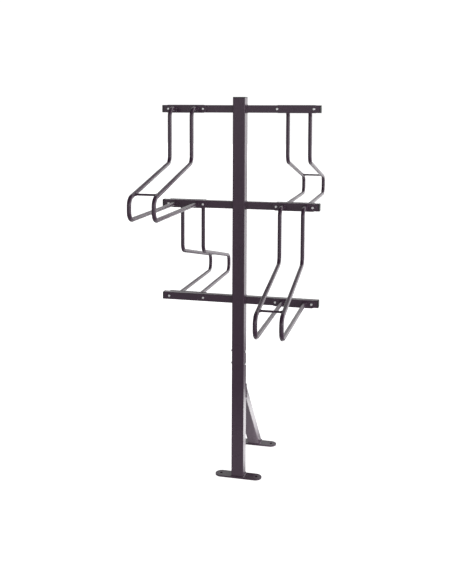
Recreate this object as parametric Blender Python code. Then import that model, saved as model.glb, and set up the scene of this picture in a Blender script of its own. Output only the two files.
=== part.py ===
"""Floor stand that parks four bicycles, each by one wheel pushed between a pair of bent tubes.

A square post stands on a foot plate and a raked strut with a foot plate of its own. Three square
crossbars pass through the post. Four wheel holders are bolted between them, two in front and two
behind, at two heights. Metres, +Z up, +Y to the back, the origin on the floor under the post.
"""
import math

import bmesh
import bpy
from mathutils import Matrix, Vector

# Gap left between pieces that touch on the real stand
GAP = 0.0003

# Post: square steel tube in two lengths, joined on an inner sleeve
POST_WIDTH = 0.050
POST_WALL = 0.002
POST_CORNER = 0.003
POST_TUBE_TOP = 1.555
SPLICE_HEIGHT = 0.558
SLEEVE_BELOW = 0.110
SLEEVE_ABOVE = 0.090
SLEEVE_CORNER = 0.0025
SPLICE_HOLE_DROPS = {"upper": 0.030, "lower": 0.081}
POST_CAP_HEIGHT = 0.004

# Crossbars: square steel tube through the post, set a little behind its middle
BAR_WIDTH = 0.030
BAR_WALL = 0.002
BAR_CORNER = 0.0025
BAR_OVERALL = 0.646
BAR_CAP_LENGTH = 0.005
BAR_SETBACK = 0.005
BAR_SPACING = 0.385
BOTTOM_BAR_HEIGHT = 0.742
CAP_PLUG_DEPTH = 0.012

# Feet and the strut behind the post
FOOT_LENGTH = 0.194
FOOT_WIDTH = 0.054
FOOT_THICKNESS = 0.006
FOOT_HOLE_SPACING = 0.146
FOOT_HOLE = 0.011
REAR_FOOT_BACK = 0.339
STRUT_WIDTH = 0.050
STRUT_DEPTH = 0.040
STRUT_RISE = math.radians(48)

# Wheel holders: two bent tubes, a cross rod and two bolted plates
HOLDER_SIDE = 0.2225
TUBE_SPACING = 0.090
TUBE_DIAMETER = 0.016
TUBE_BORE = 0.013
BEND_RADIUS = 0.032
TUBE_STAND_OFF = 0.088
NOSE_REACH = 0.549
TRAY_START_HEIGHT = 0.173
NOSE_HEIGHT = 0.076
ROD_DIAMETER = 0.008
ROD_REACH = 0.500
PLATE_LENGTH = 0.177
PLATE_WIDTH = 0.032
PLATE_THICKNESS = 0.005

# M6 fasteners: button-head screws with hexagon sockets, and locking nuts
BOLT_SPACING = 0.145
BOLT_DIAMETER = 0.006
BOLT_HOLE = 0.0066
HEAD_DIAMETER = 0.0105
HEAD_HEIGHT = 0.0033
HEAD_CROWN = 0.0056
HEAD_SHOULDER = 0.0092
HEAD_SHOULDER_HEIGHT = 0.0020
SOCKET_FLATS = 0.004
SOCKET_DEPTH = 0.002
NUT_FLATS = 0.010
NUT_HEIGHT = 0.006
NUT_COLLAR = 0.0092
NUT_COLLAR_START = 0.0043
BOLT_PAST_NUT = 0.002

# Numbers of flats that stand for round shapes
TUBE_SIDES = 12
BORE_SIDES = 8
ROD_SIDES = 10
BOLT_SIDES = 12
OUTLINE_SIDES = 24
HOLE_SIDES = 12
CORNER_STEPS = 3
DEGREES_PER_BEND_STEP = 20
SHARP_ANGLE = math.radians(35)

# How nearly a face's normal lies along an axis for the face to count as facing that way
FACING = 0.9

STEEL_PAINT = ("steel_paint", (0.045, 0.037, 0.043), 0.38, 0.0)
ZINC = ("zinc_plate", (0.62, 0.63, 0.65), 0.28, 1.0)
BLACK_PLASTIC = ("black_plastic", (0.022, 0.021, 0.023), 0.50, 0.0)

POST_INSIDE = POST_WIDTH - 2 * POST_WALL
BAR_INSIDE = BAR_WIDTH - 2 * BAR_WALL
BAR_TUBE_LENGTH = BAR_OVERALL - 2 * (BAR_CAP_LENGTH + GAP)
FOOT_TOP = FOOT_THICKNESS + GAP
PLATE_BACK = BAR_WIDTH / 2 + GAP
PLATE_FACE = PLATE_BACK + PLATE_THICKNESS
TUBE_START = PLATE_FACE + GAP
BAR_HEIGHTS = {
    "top": BOTTOM_BAR_HEIGHT + 2 * BAR_SPACING,
    "middle": BOTTOM_BAR_HEIGHT + BAR_SPACING,
    "bottom": BOTTOM_BAR_HEIGHT,
}

# Each holder: its side of the post, whether it points forwards, and the bars above and below it
HOLDERS = {
    "upper_left": {"side": -1, "forward": True, "above": "top", "below": "middle"},
    "upper_right": {"side": 1, "forward": False, "above": "top", "below": "middle"},
    "lower_left": {"side": -1, "forward": False, "above": "middle", "below": "bottom"},
    "lower_right": {"side": 1, "forward": True, "above": "middle", "below": "bottom"},
}
SIDES = {"left": -1, "right": 1}


def clear_scene():
    for item in list(bpy.data.objects):
        bpy.data.objects.remove(item, do_unlink=True)


def make_material(name, colour, roughness, metallic):
    material = bpy.data.materials.new(name)
    material.use_nodes = True
    shader = material.node_tree.nodes["Principled BSDF"]
    shader.inputs["Base Color"].default_value = (*colour, 1.0)
    shader.inputs["Roughness"].default_value = roughness
    shader.inputs["Metallic"].default_value = metallic
    return material


def add_object(name, bm, material, location=(0.0, 0.0, 0.0), parent=None):
    """Turn a bmesh into a named object, shaded smooth except across its edges."""
    mesh = bpy.data.meshes.new(name)
    bm.to_mesh(mesh)
    bm.free()
    mesh.shade_smooth()
    mesh.set_sharp_from_angle(angle=SHARP_ANGLE)
    if material:
        mesh.materials.append(material)
    item = bpy.data.objects.new(name, mesh)
    item.location = location
    item.parent = parent
    bpy.context.scene.collection.objects.link(item)
    return item


def add_cutter(name, bm, target, location):
    """Cut a shape out of an object and hide the shape."""
    cutter = add_object(name, bm, None, location)
    cutter.hide_render = True
    cutter.display_type = "WIRE"
    cut = target.modifiers.new(name, "BOOLEAN")
    cut.operation = "DIFFERENCE"
    cut.solver = "EXACT"
    cut.object = cutter


def add_wall(item, thickness):
    """Give an open sleeve a wall that grows inwards."""
    wall = item.modifiers.new("wall", "SOLIDIFY")
    wall.thickness = thickness
    wall.offset = -1.0
    wall.use_even_offset = True
    wall.use_rim = True


def plain_block(width, depth, length):
    bm = bmesh.new()
    bmesh.ops.create_cube(bm, size=1.0)
    bmesh.ops.scale(bm, vec=(width, depth, length), verts=bm.verts)
    return bm


def rounded_block(width, depth, length, corner):
    """A block along Z with its four long edges rounded."""
    bm = plain_block(width, depth, length)
    long_edges = [e for e in bm.edges if abs(e.verts[0].co.z - e.verts[1].co.z) > length / 2]
    bmesh.ops.bevel(bm, geom=long_edges, offset=corner, offset_type="OFFSET",
                    segments=CORNER_STEPS, profile=0.5, affect="EDGES", material=-1)
    return bm


def open_sleeve(width, depth, length, corner):
    """A rounded block without its two end faces, ready for a wall."""
    bm = rounded_block(width, depth, length, corner)
    ends = [f for f in bm.faces if abs(f.normal.z) > FACING]
    bmesh.ops.delete(bm, geom=ends, context="FACES_ONLY")
    return bm


def ring(bm, sides, radius, place):
    """A loop of edges round the local Z axis of a placing matrix."""
    made = bmesh.ops.create_circle(bm, cap_ends=False, segments=sides, radius=radius, matrix=place)
    return list(dict.fromkeys(e for v in made["verts"] for e in v.link_edges))


def join_loops(bm, first, second, flat):
    """Bridge two loops, or fill between them where one lies inside the other in one plane."""
    if flat:
        bmesh.ops.triangle_fill(bm, use_beauty=True, edges=first + second)
    else:
        bmesh.ops.bridge_loops(bm, edges=first + second)


def turned_body(stations, hollow=False):
    """Join loops of (sides, radius, height) along Z, and cap the ends or close them into a bore."""
    bm = bmesh.new()
    heights = [height for sides, radius, height in stations]
    loops = [ring(bm, sides, radius, Matrix.Translation((0, 0, height)))
             for sides, radius, height in stations]
    for i in range(len(loops) - 1):
        join_loops(bm, loops[i], loops[i + 1], heights[i] == heights[i + 1])
    if hollow:
        join_loops(bm, loops[-1], loops[0], True)
    else:
        bmesh.ops.edgeloop_fill(bm, edges=loops[0])
        bmesh.ops.edgeloop_fill(bm, edges=loops[-1])
    bmesh.ops.recalc_face_normals(bm, faces=bm.faces)
    return bm


def round_bar(radius, length, sides):
    return turned_body([(sides, radius, -length / 2), (sides, radius, length / 2)])


def slotted_outline(bm, length, width):
    """A loop with straight sides and round ends, its flats on the true width."""
    turn = math.pi / OUTLINE_SIDES
    place = Matrix.Rotation(turn, 4, "Z")
    edges = ring(bm, OUTLINE_SIDES, width / 2 / math.cos(turn), place)
    reach = (length - width) / 2
    for v in {v for e in edges for v in e.verts}:
        v.co.x += math.copysign(reach, v.co.x)
    return edges


def drilled_plate(length, width, thickness, hole_spacing, hole):
    """A round-ended plate with two holes, its faces at Z 0 and Z thickness."""
    bm = bmesh.new()
    edges = slotted_outline(bm, length, width)
    for side in (-1, 1):
        edges += ring(bm, HOLE_SIDES, hole / 2, Matrix.Translation((side * hole_spacing / 2, 0, 0)))
    bmesh.ops.triangle_fill(bm, use_beauty=True, edges=edges, normal=(0, 0, 1))
    lifted = bmesh.ops.extrude_face_region(bm, geom=list(bm.faces))
    upper = [g for g in lifted["geom"] if isinstance(g, bmesh.types.BMVert)]
    bmesh.ops.translate(bm, vec=(0, 0, thickness), verts=upper)
    bmesh.ops.recalc_face_normals(bm, faces=bm.faces)
    return bm


def plugged_cap(width, flange, plug_width, corner):
    """A square end cap along Z: the flange above Z 0 and the plug that fills the tube below it."""
    bm = rounded_block(width, width, flange, corner)
    bmesh.ops.translate(bm, vec=(0, 0, flange / 2), verts=bm.verts)
    base = [f for f in bm.faces if f.normal.z < -FACING]
    bmesh.ops.inset_region(bm, faces=base, thickness=(width - plug_width) / 2, use_even_offset=True)
    pushed = bmesh.ops.extrude_face_region(bm, geom=base)
    lower = [g for g in pushed["geom"] if isinstance(g, bmesh.types.BMVert)]
    bmesh.ops.translate(bm, vec=(0, 0, -CAP_PLUG_DEPTH), verts=lower)
    bmesh.ops.delete(bm, geom=base, context="FACES_ONLY")
    bmesh.ops.recalc_face_normals(bm, faces=bm.faces)
    return bm


def sweep_straight(bm, edges, step):
    """Draw open loops out along a straight step and return the loops at its end."""
    drawn = bmesh.ops.extrude_edge_only(bm, edges=edges)["geom"]
    moved = [g for g in drawn if isinstance(g, bmesh.types.BMVert)]
    bmesh.ops.translate(bm, vec=step, verts=moved)
    moved = set(moved)
    return [g for g in drawn if isinstance(g, bmesh.types.BMEdge) and set(g.verts) <= moved]


def sweep_bend(bm, edges, centre, angle):
    """Spin open loops about an axis along X and return the loops at the end of the bend."""
    steps = max(2, math.ceil(abs(math.degrees(angle)) / DEGREES_PER_BEND_STEP))
    spun = bmesh.ops.spin(bm, geom=edges, cent=centre, axis=(1, 0, 0), angle=angle, steps=steps,
                          use_merge=False, use_duplicate=False)
    return [g for g in spun["geom_last"] if isinstance(g, bmesh.types.BMEdge)]


def bent_tube(corners, radius, bore_radius, bend_radius):
    """A hollow round tube in the plane X 0, straight between corners and rounded at each."""
    bm = bmesh.new()
    first = (corners[1] - corners[0]).normalized()
    facing = first.to_track_quat("Z", "X").to_matrix().to_4x4()
    place = Matrix.Translation(corners[0]) @ facing
    outer = ring(bm, TUBE_SIDES, radius, place)
    bore = ring(bm, BORE_SIDES, bore_radius, place)
    edges = outer + bore
    bmesh.ops.triangle_fill(bm, use_beauty=True, edges=edges)
    here = corners[0]
    for before, corner, after in zip(corners, corners[1:], corners[2:]):
        along = (corner - before).normalized()
        ahead = (after - corner).normalized()
        angle = math.atan2(along.cross(ahead).x, along.dot(ahead))
        trim = bend_radius * math.tan(abs(angle) / 2)
        bend_start = corner - along * trim
        edges = sweep_straight(bm, edges, bend_start - here)
        inward = Vector((1, 0, 0)).cross(along) * math.copysign(bend_radius, angle)
        edges = sweep_bend(bm, edges, bend_start + inward, angle)
        here = corner + ahead * trim
    edges = sweep_straight(bm, edges, corners[-1] - here)
    bmesh.ops.triangle_fill(bm, use_beauty=True, edges=edges)
    bmesh.ops.recalc_face_normals(bm, faces=bm.faces)
    return bm


def build_post(paint, plastic):
    """The two lengths of the post, the sleeve inside their joint and the cap on top."""
    lower_length = SPLICE_HEIGHT - FOOT_TOP
    lower = add_object("lower_post", open_sleeve(POST_WIDTH, POST_WIDTH, lower_length, POST_CORNER),
                       paint, (0, 0, FOOT_TOP + lower_length / 2))
    add_wall(lower, POST_WALL)
    upper_base = SPLICE_HEIGHT + GAP
    upper_length = POST_TUBE_TOP - upper_base
    upper = add_object("upper_post", open_sleeve(POST_WIDTH, POST_WIDTH, upper_length, POST_CORNER),
                       paint, (0, 0, upper_base + upper_length / 2))
    add_wall(upper, POST_WALL)
    for name, height in BAR_HEIGHTS.items():
        window = rounded_block(BAR_WIDTH + 2 * GAP, BAR_WIDTH + 2 * GAP, 2 * POST_WIDTH,
                               BAR_CORNER + GAP)
        bmesh.ops.rotate(window, verts=window.verts, matrix=Matrix.Rotation(math.pi / 2, 3, "Y"))
        add_cutter(name + "_window", window, upper, (0, BAR_SETBACK, height))
    sleeve_width = POST_INSIDE - 2 * GAP
    sleeve_length = SLEEVE_BELOW + SLEEVE_ABOVE
    sleeve_middle = SPLICE_HEIGHT + (SLEEVE_ABOVE - SLEEVE_BELOW) / 2
    sleeve = add_object("splice_sleeve",
                        open_sleeve(sleeve_width, sleeve_width, sleeve_length, SLEEVE_CORNER),
                        paint, (0, 0, sleeve_middle))
    add_wall(sleeve, POST_WALL)
    for name, drop in SPLICE_HOLE_DROPS.items():
        for item in (lower, sleeve):
            drill = round_bar(BOLT_HOLE / 2, 2 * POST_WIDTH, HOLE_SIDES)
            bmesh.ops.rotate(drill, verts=drill.verts, matrix=Matrix.Rotation(math.pi / 2, 3, "Y"))
            add_cutter(f"{item.name}_{name}_hole", drill, item, (0, 0, SPLICE_HEIGHT - drop))
    cap = plugged_cap(POST_WIDTH, POST_CAP_HEIGHT, POST_INSIDE - 2 * GAP, POST_CORNER)
    add_object("post_cap", cap, plastic, (0, 0, POST_TUBE_TOP + GAP))


def build_feet(paint):
    for name, back in (("front_foot_plate", 0.0), ("rear_foot_plate", REAR_FOOT_BACK)):
        plate = drilled_plate(FOOT_LENGTH, FOOT_WIDTH, FOOT_THICKNESS, FOOT_HOLE_SPACING, FOOT_HOLE)
        add_object(name, plate, paint, (0, back, 0))


def build_strut(paint):
    """A raked box tube, cut off flush with the back of the post and the top of the rear foot."""
    reach = REAR_FOOT_BACK - POST_WIDTH / 2
    length = reach / math.cos(STRUT_RISE) + 2 * STRUT_DEPTH
    middle_back = (REAR_FOOT_BACK + POST_WIDTH / 2) / 2
    middle_height = FOOT_TOP + reach / 2 * math.tan(STRUT_RISE)
    strut = add_object("rear_strut", open_sleeve(STRUT_WIDTH, STRUT_DEPTH, length, POST_CORNER),
                       paint, (0, middle_back, middle_height))
    strut.rotation_euler.x = math.pi / 2 - STRUT_RISE
    add_wall(strut, POST_WALL)
    waste = 4 * STRUT_DEPTH
    post_side = plain_block(waste, waste, length)
    add_cutter("post_side", post_side, strut,
               (0, POST_WIDTH / 2 + GAP - waste / 2, middle_height + length / 2))
    floor_side = plain_block(waste, waste, waste)
    add_cutter("floor_side", floor_side, strut, (0, REAR_FOOT_BACK, FOOT_TOP - waste / 2))


def build_bar(name, height, paint, plastic):
    """One crossbar with its bolt holes and its two end caps."""
    sleeve = open_sleeve(BAR_WIDTH, BAR_WIDTH, BAR_TUBE_LENGTH, BAR_CORNER)
    bmesh.ops.rotate(sleeve, verts=sleeve.verts, matrix=Matrix.Rotation(math.pi / 2, 3, "Y"))
    bar = add_object(name + "_bar", sleeve, paint, (0, BAR_SETBACK, height))
    add_wall(bar, BAR_WALL)
    for side_name, side in SIDES.items():
        for place, offset in (("outer", 1), ("inner", -1)):
            x = side * (HOLDER_SIDE + offset * BOLT_SPACING / 2)
            drill = round_bar(BOLT_HOLE / 2, 2 * BAR_WIDTH, HOLE_SIDES)
            bmesh.ops.rotate(drill, verts=drill.verts, matrix=Matrix.Rotation(math.pi / 2, 3, "X"))
            add_cutter(f"{name}_{side_name}_{place}_hole", drill, bar, (x, BAR_SETBACK, height))
        cap = plugged_cap(BAR_WIDTH, BAR_CAP_LENGTH, BAR_INSIDE - 2 * GAP, BAR_CORNER)
        item = add_object(f"{name}_bar_{side_name}_cap", cap, plastic,
                          (side * (BAR_TUBE_LENGTH / 2 + GAP), BAR_SETBACK, height))
        item.rotation_euler.y = side * math.pi / 2


def build_holder(name, layout, paint):
    """One wheel holder, built pointing along its own +Y and turned round where it faces forwards."""
    frame = bpy.data.objects.new(name + "_holder", None)
    frame.location = (layout["side"] * HOLDER_SIDE, BAR_SETBACK, BAR_HEIGHTS[layout["below"]])
    frame.rotation_euler.z = math.pi if layout["forward"] else 0.0
    bpy.context.scene.collection.objects.link(frame)
    corners = [
        Vector((0, TUBE_START, BAR_SPACING)),
        Vector((0, TUBE_STAND_OFF, BAR_SPACING)),
        Vector((0, TUBE_STAND_OFF, TRAY_START_HEIGHT)),
        Vector((0, NOSE_REACH, NOSE_HEIGHT)),
        Vector((0, NOSE_REACH, 0)),
        Vector((0, TUBE_START, 0)),
    ]
    turned = -1 if layout["forward"] else 1
    for place, offset in (("outer", 1), ("inner", -1)):
        x = turned * layout["side"] * offset * TUBE_SPACING / 2
        tube = bent_tube(corners, TUBE_DIAMETER / 2, TUBE_BORE / 2, BEND_RADIUS)
        add_object(f"{name}_{place}_tube", tube, paint, (x, 0, 0), frame)
    tray_fall = (TRAY_START_HEIGHT - NOSE_HEIGHT) / (NOSE_REACH - TUBE_STAND_OFF)
    rod_height = NOSE_HEIGHT + (NOSE_REACH - ROD_REACH) * tray_fall
    rod = round_bar(ROD_DIAMETER / 2, TUBE_SPACING - TUBE_DIAMETER - 2 * GAP, ROD_SIDES)
    bmesh.ops.rotate(rod, verts=rod.verts, matrix=Matrix.Rotation(math.pi / 2, 3, "Y"))
    add_object(name + "_cross_rod", rod, paint, (0, ROD_REACH, rod_height), frame)
    for place, height in (("top", BAR_SPACING), ("bottom", 0.0)):
        plate = drilled_plate(PLATE_LENGTH, PLATE_WIDTH, PLATE_THICKNESS, BOLT_SPACING, BOLT_HOLE)
        bmesh.ops.rotate(plate, verts=plate.verts, matrix=Matrix.Rotation(-math.pi / 2, 3, "X"))
        add_object(f"{name}_{place}_plate", plate, paint, (0, PLATE_BACK, height), frame)


def button_screw(length):
    """A screw along Z: its head below Z 0 with a hexagon socket, its shank above."""
    socket = SOCKET_FLATS / math.sqrt(3)
    return turned_body([
        (6, socket, SOCKET_DEPTH - HEAD_HEIGHT),
        (6, socket, -HEAD_HEIGHT),
        (BOLT_SIDES, HEAD_CROWN / 2, -HEAD_HEIGHT),
        (BOLT_SIDES, HEAD_SHOULDER / 2, -HEAD_SHOULDER_HEIGHT),
        (BOLT_SIDES, HEAD_DIAMETER / 2, -GAP),
        (BOLT_SIDES, HEAD_DIAMETER / 2, 0),
        (BOLT_SIDES, BOLT_DIAMETER / 2, 0),
        (BOLT_SIDES, BOLT_DIAMETER / 2, length),
    ])


def locking_nut():
    """A hexagon nut along Z with its bore and the narrower collar of a locking nut."""
    flats = NUT_FLATS / math.sqrt(3)
    bore = BOLT_DIAMETER / 2 + GAP
    return turned_body([
        (6, flats, 0),
        (6, flats, NUT_COLLAR_START),
        (BOLT_SIDES, NUT_COLLAR / 2, NUT_COLLAR_START),
        (BOLT_SIDES, NUT_COLLAR / 2, NUT_HEIGHT),
        (BOLT_SIDES, bore, NUT_HEIGHT),
        (BOLT_SIDES, bore, 0),
    ], hollow=True)


def clamped_plates(bar_name, side):
    """Whether a holder's plate lies in front of and behind this end of a bar."""
    front = False
    back = False
    for layout in HOLDERS.values():
        if layout["side"] == side and bar_name in (layout["above"], layout["below"]):
            front = front or layout["forward"]
            back = back or not layout["forward"]
    return front, back


def build_fasteners(bar_name, height, zinc):
    """Two screws and nuts through each end of a bar, heads in front."""
    for side_name, side in SIDES.items():
        front, back = clamped_plates(bar_name, side)
        head_at = (PLATE_FACE if front else BAR_WIDTH / 2) + GAP
        nut_at = (PLATE_FACE if back else BAR_WIDTH / 2) + GAP
        for place, offset in (("outer", 1), ("inner", -1)):
            x = side * (HOLDER_SIDE + offset * BOLT_SPACING / 2)
            label = f"{bar_name}_bar_{side_name}_{place}"
            screw = add_object(label + "_bolt",
                               button_screw(head_at + nut_at + NUT_HEIGHT + BOLT_PAST_NUT), zinc,
                               (x, BAR_SETBACK - head_at, height))
            screw.rotation_euler.x = -math.pi / 2
            nut = add_object(label + "_nut", locking_nut(), zinc, (x, BAR_SETBACK + nut_at, height))
            nut.rotation_euler.x = -math.pi / 2


def main():
    clear_scene()
    paint = make_material(*STEEL_PAINT)
    zinc = make_material(*ZINC)
    plastic = make_material(*BLACK_PLASTIC)
    build_post(paint, plastic)
    build_feet(paint)
    build_strut(paint)
    for name, height in BAR_HEIGHTS.items():
        build_bar(name, height, paint, plastic)
        build_fasteners(name, height, zinc)
    for name, layout in HOLDERS.items():
        build_holder(name, layout, paint)


main()
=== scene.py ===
"""Looks of the floor bike stand: painted tube, weld beads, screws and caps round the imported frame."""

import math

import bmesh
import bpy
from mathutils import Matrix, Vector


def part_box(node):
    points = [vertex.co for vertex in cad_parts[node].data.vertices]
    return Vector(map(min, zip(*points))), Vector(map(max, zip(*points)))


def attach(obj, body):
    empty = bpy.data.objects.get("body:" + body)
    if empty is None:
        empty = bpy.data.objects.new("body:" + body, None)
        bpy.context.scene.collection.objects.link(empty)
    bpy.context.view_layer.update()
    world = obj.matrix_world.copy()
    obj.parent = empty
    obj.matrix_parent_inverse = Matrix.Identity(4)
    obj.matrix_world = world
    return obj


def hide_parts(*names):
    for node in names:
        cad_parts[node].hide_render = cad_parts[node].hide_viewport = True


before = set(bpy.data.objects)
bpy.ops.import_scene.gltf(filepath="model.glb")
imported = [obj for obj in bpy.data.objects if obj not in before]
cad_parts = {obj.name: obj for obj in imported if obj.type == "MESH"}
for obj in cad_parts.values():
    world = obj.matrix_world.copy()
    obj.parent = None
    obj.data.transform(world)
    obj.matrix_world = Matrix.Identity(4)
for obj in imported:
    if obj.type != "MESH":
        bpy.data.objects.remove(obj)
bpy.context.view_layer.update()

# Sizes of the stand's stock, in metres
POST_CORNER = 0.003
POST_WALL = 0.002
BAR_CORNER = 0.0025
BAR_WALL = 0.002
STRUT_DEPTH = 0.040
STRUT_RISE = math.radians(48)
TUBE_RADIUS = 0.008
TUBE_BORE_RADIUS = 0.0065
BEND_RADIUS = 0.032
TUBE_STAND_OFF = 0.088
NOSE_REACH = 0.549
TRAY_START_HEIGHT = 0.173
NOSE_HEIGHT = 0.076
ROD_RADIUS = 0.004
ROD_REACH = 0.500
TRAY_FALL = (TRAY_START_HEIGHT - NOSE_HEIGHT) / (NOSE_REACH - TUBE_STAND_OFF)
ROD_HEIGHT = NOSE_HEIGHT + (NOSE_REACH - ROD_REACH) * TRAY_FALL
BOLT_SPACING = 0.145
BOLT_HOLE = 0.0066
FOOT_HOLE_SPACING = 0.146
FOOT_HOLE = 0.011
CAP_PLUG_DEPTH = 0.012
CAP_RIB = 0.00045
GAP = 0.0003

# A cap's plug from its flange down: the share of its depth, and the ribs that it widens by
CAP_PLUG_STEPS = ((0.3, 0), (0.05, 1), (0.12, 0), (0.1, -1), (0.05, 1), (0.12, 0), (0.1, -1), (0.16, -1))

# M6 fasteners
THREAD_RADIUS = 0.003
THREAD_ROOT = 0.00255
THREAD_PITCH = 0.001
THREAD_LENGTH = 0.012
THREAD_TURN = ((THREAD_RADIUS, 0), (THREAD_RADIUS, 0.15), (THREAD_ROOT, 0.5), (THREAD_ROOT, 0.65))
HEAD_RADIUS = 0.00525
HEAD_HEIGHT = 0.0033
HEAD_CROWN_RADIUS = 0.0034
SOCKET_FLATS = 0.004
SOCKET_DEPTH = 0.002
SOCKET_POINT = 0.0005
NUT_FLATS = 0.010
NUT_HEIGHT = 0.006
NUT_BODY_HEIGHT = 0.0043
NUT_BORE_RADIUS = THREAD_RADIUS + 2 * GAP
NUT_CHAMFER_RADIUS = 0.00485
NUT_CHAMFER_SLOPE = math.tan(math.radians(30))
COLLAR_RADIUS = 0.0046
COLLAR_MOUTH = 0.003772
SPLICE_SCREW_PAST_NUT = 0.002
WASHER_RADIUS = 0.006
WASHER_THICKNESS = 0.0016
SPLICE_SCREW_DROPS = {"upper": 0.030, "lower": 0.081}

# Heights in a nut's collar, as shares of it: its foot, the start of its crown, the nylon's seat and foot
COLLAR_FOOT = 0.1
COLLAR_CROWN = 0.35
NYLON_SEAT = 0.3
NYLON_FOOT = 0.32

# Eased edges and weld beads
RIM_EASE = 0.0004
PLATE_EASE = 0.0008
SCORE_BAND = 0.002
HOLE_CLEAR = BOLT_HOLE / 2 + SCORE_BAND
CAP_EASE = 0.0009
CAP_RIM = 0.0009
CAP_PAN = 0.0003
BEAD_PITCH = 0.0024
BEAD_STEPS = 6
BEAD_SIDES = 12
BEAD_OFFSET = 0.18
BEAD_LAP = 2.5 * BEAD_PITCH
FRAME_BEAD = 0.0022
FOOT_BEAD = 0.0030
TUBE_BEAD = 0.0026
ROD_BEAD = 0.0016

# How a bead's thickness and height vary, as shares of its own
BEAD_RIPPLE = 0.06
BEAD_UNEVENNESS = 0.035
BEAD_LIFT = 0.15
BEAD_END = 0.45
BEAD_END_GROWTH = 0.2

# How far a bead's two uneven waves and its lift swing in one step, in radians
QUICK_WAVE = 0.37
SLOW_WAVE = 0.131
LIFT_WAVE = 0.53

# Faces per round shape
TUBE_SIDES = 36
BORE_SIDES = 24
ROD_SIDES = 24
OUTLINE_SIDES = 64
HOLE_SIDES = 32
SCREW_SIDES = 36
HEAD_STEPS = 6
COLLAR_STEPS = 4
CORNER_STEPS = 6
EASE_STEPS = 3
DEGREES_PER_BEND_STEP = 3
SHARP_ANGLE = math.radians(40)
FACING = 0.9

HOLDERS = {
    "upper_left": {"forward": True, "below": "middle", "above": "top"},
    "upper_right": {"forward": False, "below": "middle", "above": "top"},
    "lower_left": {"forward": False, "below": "bottom", "above": "middle"},
    "lower_right": {"forward": True, "below": "bottom", "above": "middle"},
}
SIDES = {"left": -1, "right": 1}
PLACES = ("outer", "inner")
BARS = ("top", "middle", "bottom")


def size_of(node):
    low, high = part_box(node)
    return high - low


def centre_of(node):
    low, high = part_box(node)
    return (low + high) / 2


def new_object(name, bm):
    """An object of the scene made from a bmesh, which is used up."""
    mesh = bpy.data.meshes.new(name)
    bm.to_mesh(mesh)
    bm.free()
    made = bpy.data.objects.new(name, mesh)
    bpy.context.scene.collection.objects.link(made)
    return made


def add_piece(name, bm, material, node=None, flat_sided=False):
    """Make a bmesh a piece of the stand, in place of its plain solid where it has one."""
    piece = new_object(name, bm)
    piece.data.shade_smooth()
    piece.data.set_sharp_from_angle(angle=SHARP_ANGLE)
    piece.data.materials.append(material)
    if flat_sided:
        weighted = piece.modifiers.new("weighted_normals", "WEIGHTED_NORMAL")
        weighted.keep_sharp = True
    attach(piece, "root")
    if node:
        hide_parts(node)


def add_weld(name, bead):
    add_piece(name, bead, WELD_PAINT)


def cut_out(bm, cutters):
    """Take the shapes of some cutters out of a bmesh and return the result."""
    body = new_object("uncut", bm)
    tools = [new_object("cutter", cutter) for cutter in cutters]
    for tool in tools:
        cut = body.modifiers.new("cut", "BOOLEAN")
        cut.operation = "DIFFERENCE"
        cut.solver = "EXACT"
        cut.object = tool
    bpy.context.view_layer.update()
    shaped = body.evaluated_get(bpy.context.evaluated_depsgraph_get())
    result = bmesh.new()
    result.from_mesh(shaped.to_mesh())
    shaped.to_mesh_clear()
    for item in [body, *tools]:
        left_over = item.data
        bpy.data.objects.remove(item, do_unlink=True)
        bpy.data.meshes.remove(left_over)
    return result


def turn(bm, angle, axis):
    bmesh.ops.rotate(bm, verts=bm.verts, matrix=Matrix.Rotation(angle, 3, axis))


def move(bm, step):
    bmesh.ops.translate(bm, verts=bm.verts, vec=step)


def place(bm, matrix):
    bmesh.ops.transform(bm, matrix=matrix, verts=bm.verts)


def whole(bm):
    return bm.verts[:] + bm.edges[:] + bm.faces[:]


def facing_outwards(bm):
    bmesh.ops.recalc_face_normals(bm, faces=bm.faces)
    return bm


def ring(bm, sides, radius, where):
    """A loop of edges round the local Z axis of a placing matrix."""
    made = bmesh.ops.create_circle(bm, cap_ends=False, segments=sides, radius=radius, matrix=where)
    return list(dict.fromkeys(e for v in made["verts"] for e in v.link_edges))


def at_height(height):
    return Matrix.Translation((0, 0, height))


def rings(bm, stations):
    """Loops round the Z axis, one for each pair of radius and height."""
    return [ring(bm, SCREW_SIDES, radius, at_height(height)) for radius, height in stations]


def skin(bm, loops):
    """Join each loop of edges to the next."""
    for lower, upper in zip(loops, loops[1:]):
        bmesh.ops.bridge_loops(bm, edges=lower + upper)


def new_loop(drawn):
    """The loop of edges at the far side of what an operator has just drawn out."""
    verts = {g for g in drawn if isinstance(g, bmesh.types.BMVert)}
    edges = [g for g in drawn if isinstance(g, bmesh.types.BMEdge) and set(g.verts) <= verts]
    return verts, edges


def draw_straight(bm, edges, step):
    verts, edges = new_loop(bmesh.ops.extrude_edge_only(bm, edges=edges)["geom"])
    bmesh.ops.translate(bm, verts=list(verts), vec=step)
    return edges


def draw_bend(bm, edges, centre, angle):
    steps = math.ceil(abs(math.degrees(angle)) / DEGREES_PER_BEND_STEP)
    spun = bmesh.ops.spin(bm, geom=edges, cent=centre, axis=(1, 0, 0), angle=angle, steps=steps,
                          use_merge=False, use_duplicate=False)
    return [g for g in spun["geom_last"] if isinstance(g, bmesh.types.BMEdge)]


def draw_through(bm, edges, frames):
    """Draw a loop through a row of placing matrices, the first of which it lies on."""
    for before, after in zip(frames, frames[1:]):
        verts, edges = new_loop(bmesh.ops.extrude_edge_only(bm, edges=edges)["geom"])
        bmesh.ops.transform(bm, matrix=after @ before.inverted(), verts=list(verts))
    return edges


def ease(bm, edges, offset, steps=EASE_STEPS):
    bmesh.ops.bevel(bm, geom=edges, offset=offset, offset_type="OFFSET", segments=steps,
                    profile=0.5, affect="EDGES", material=-1)


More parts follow.
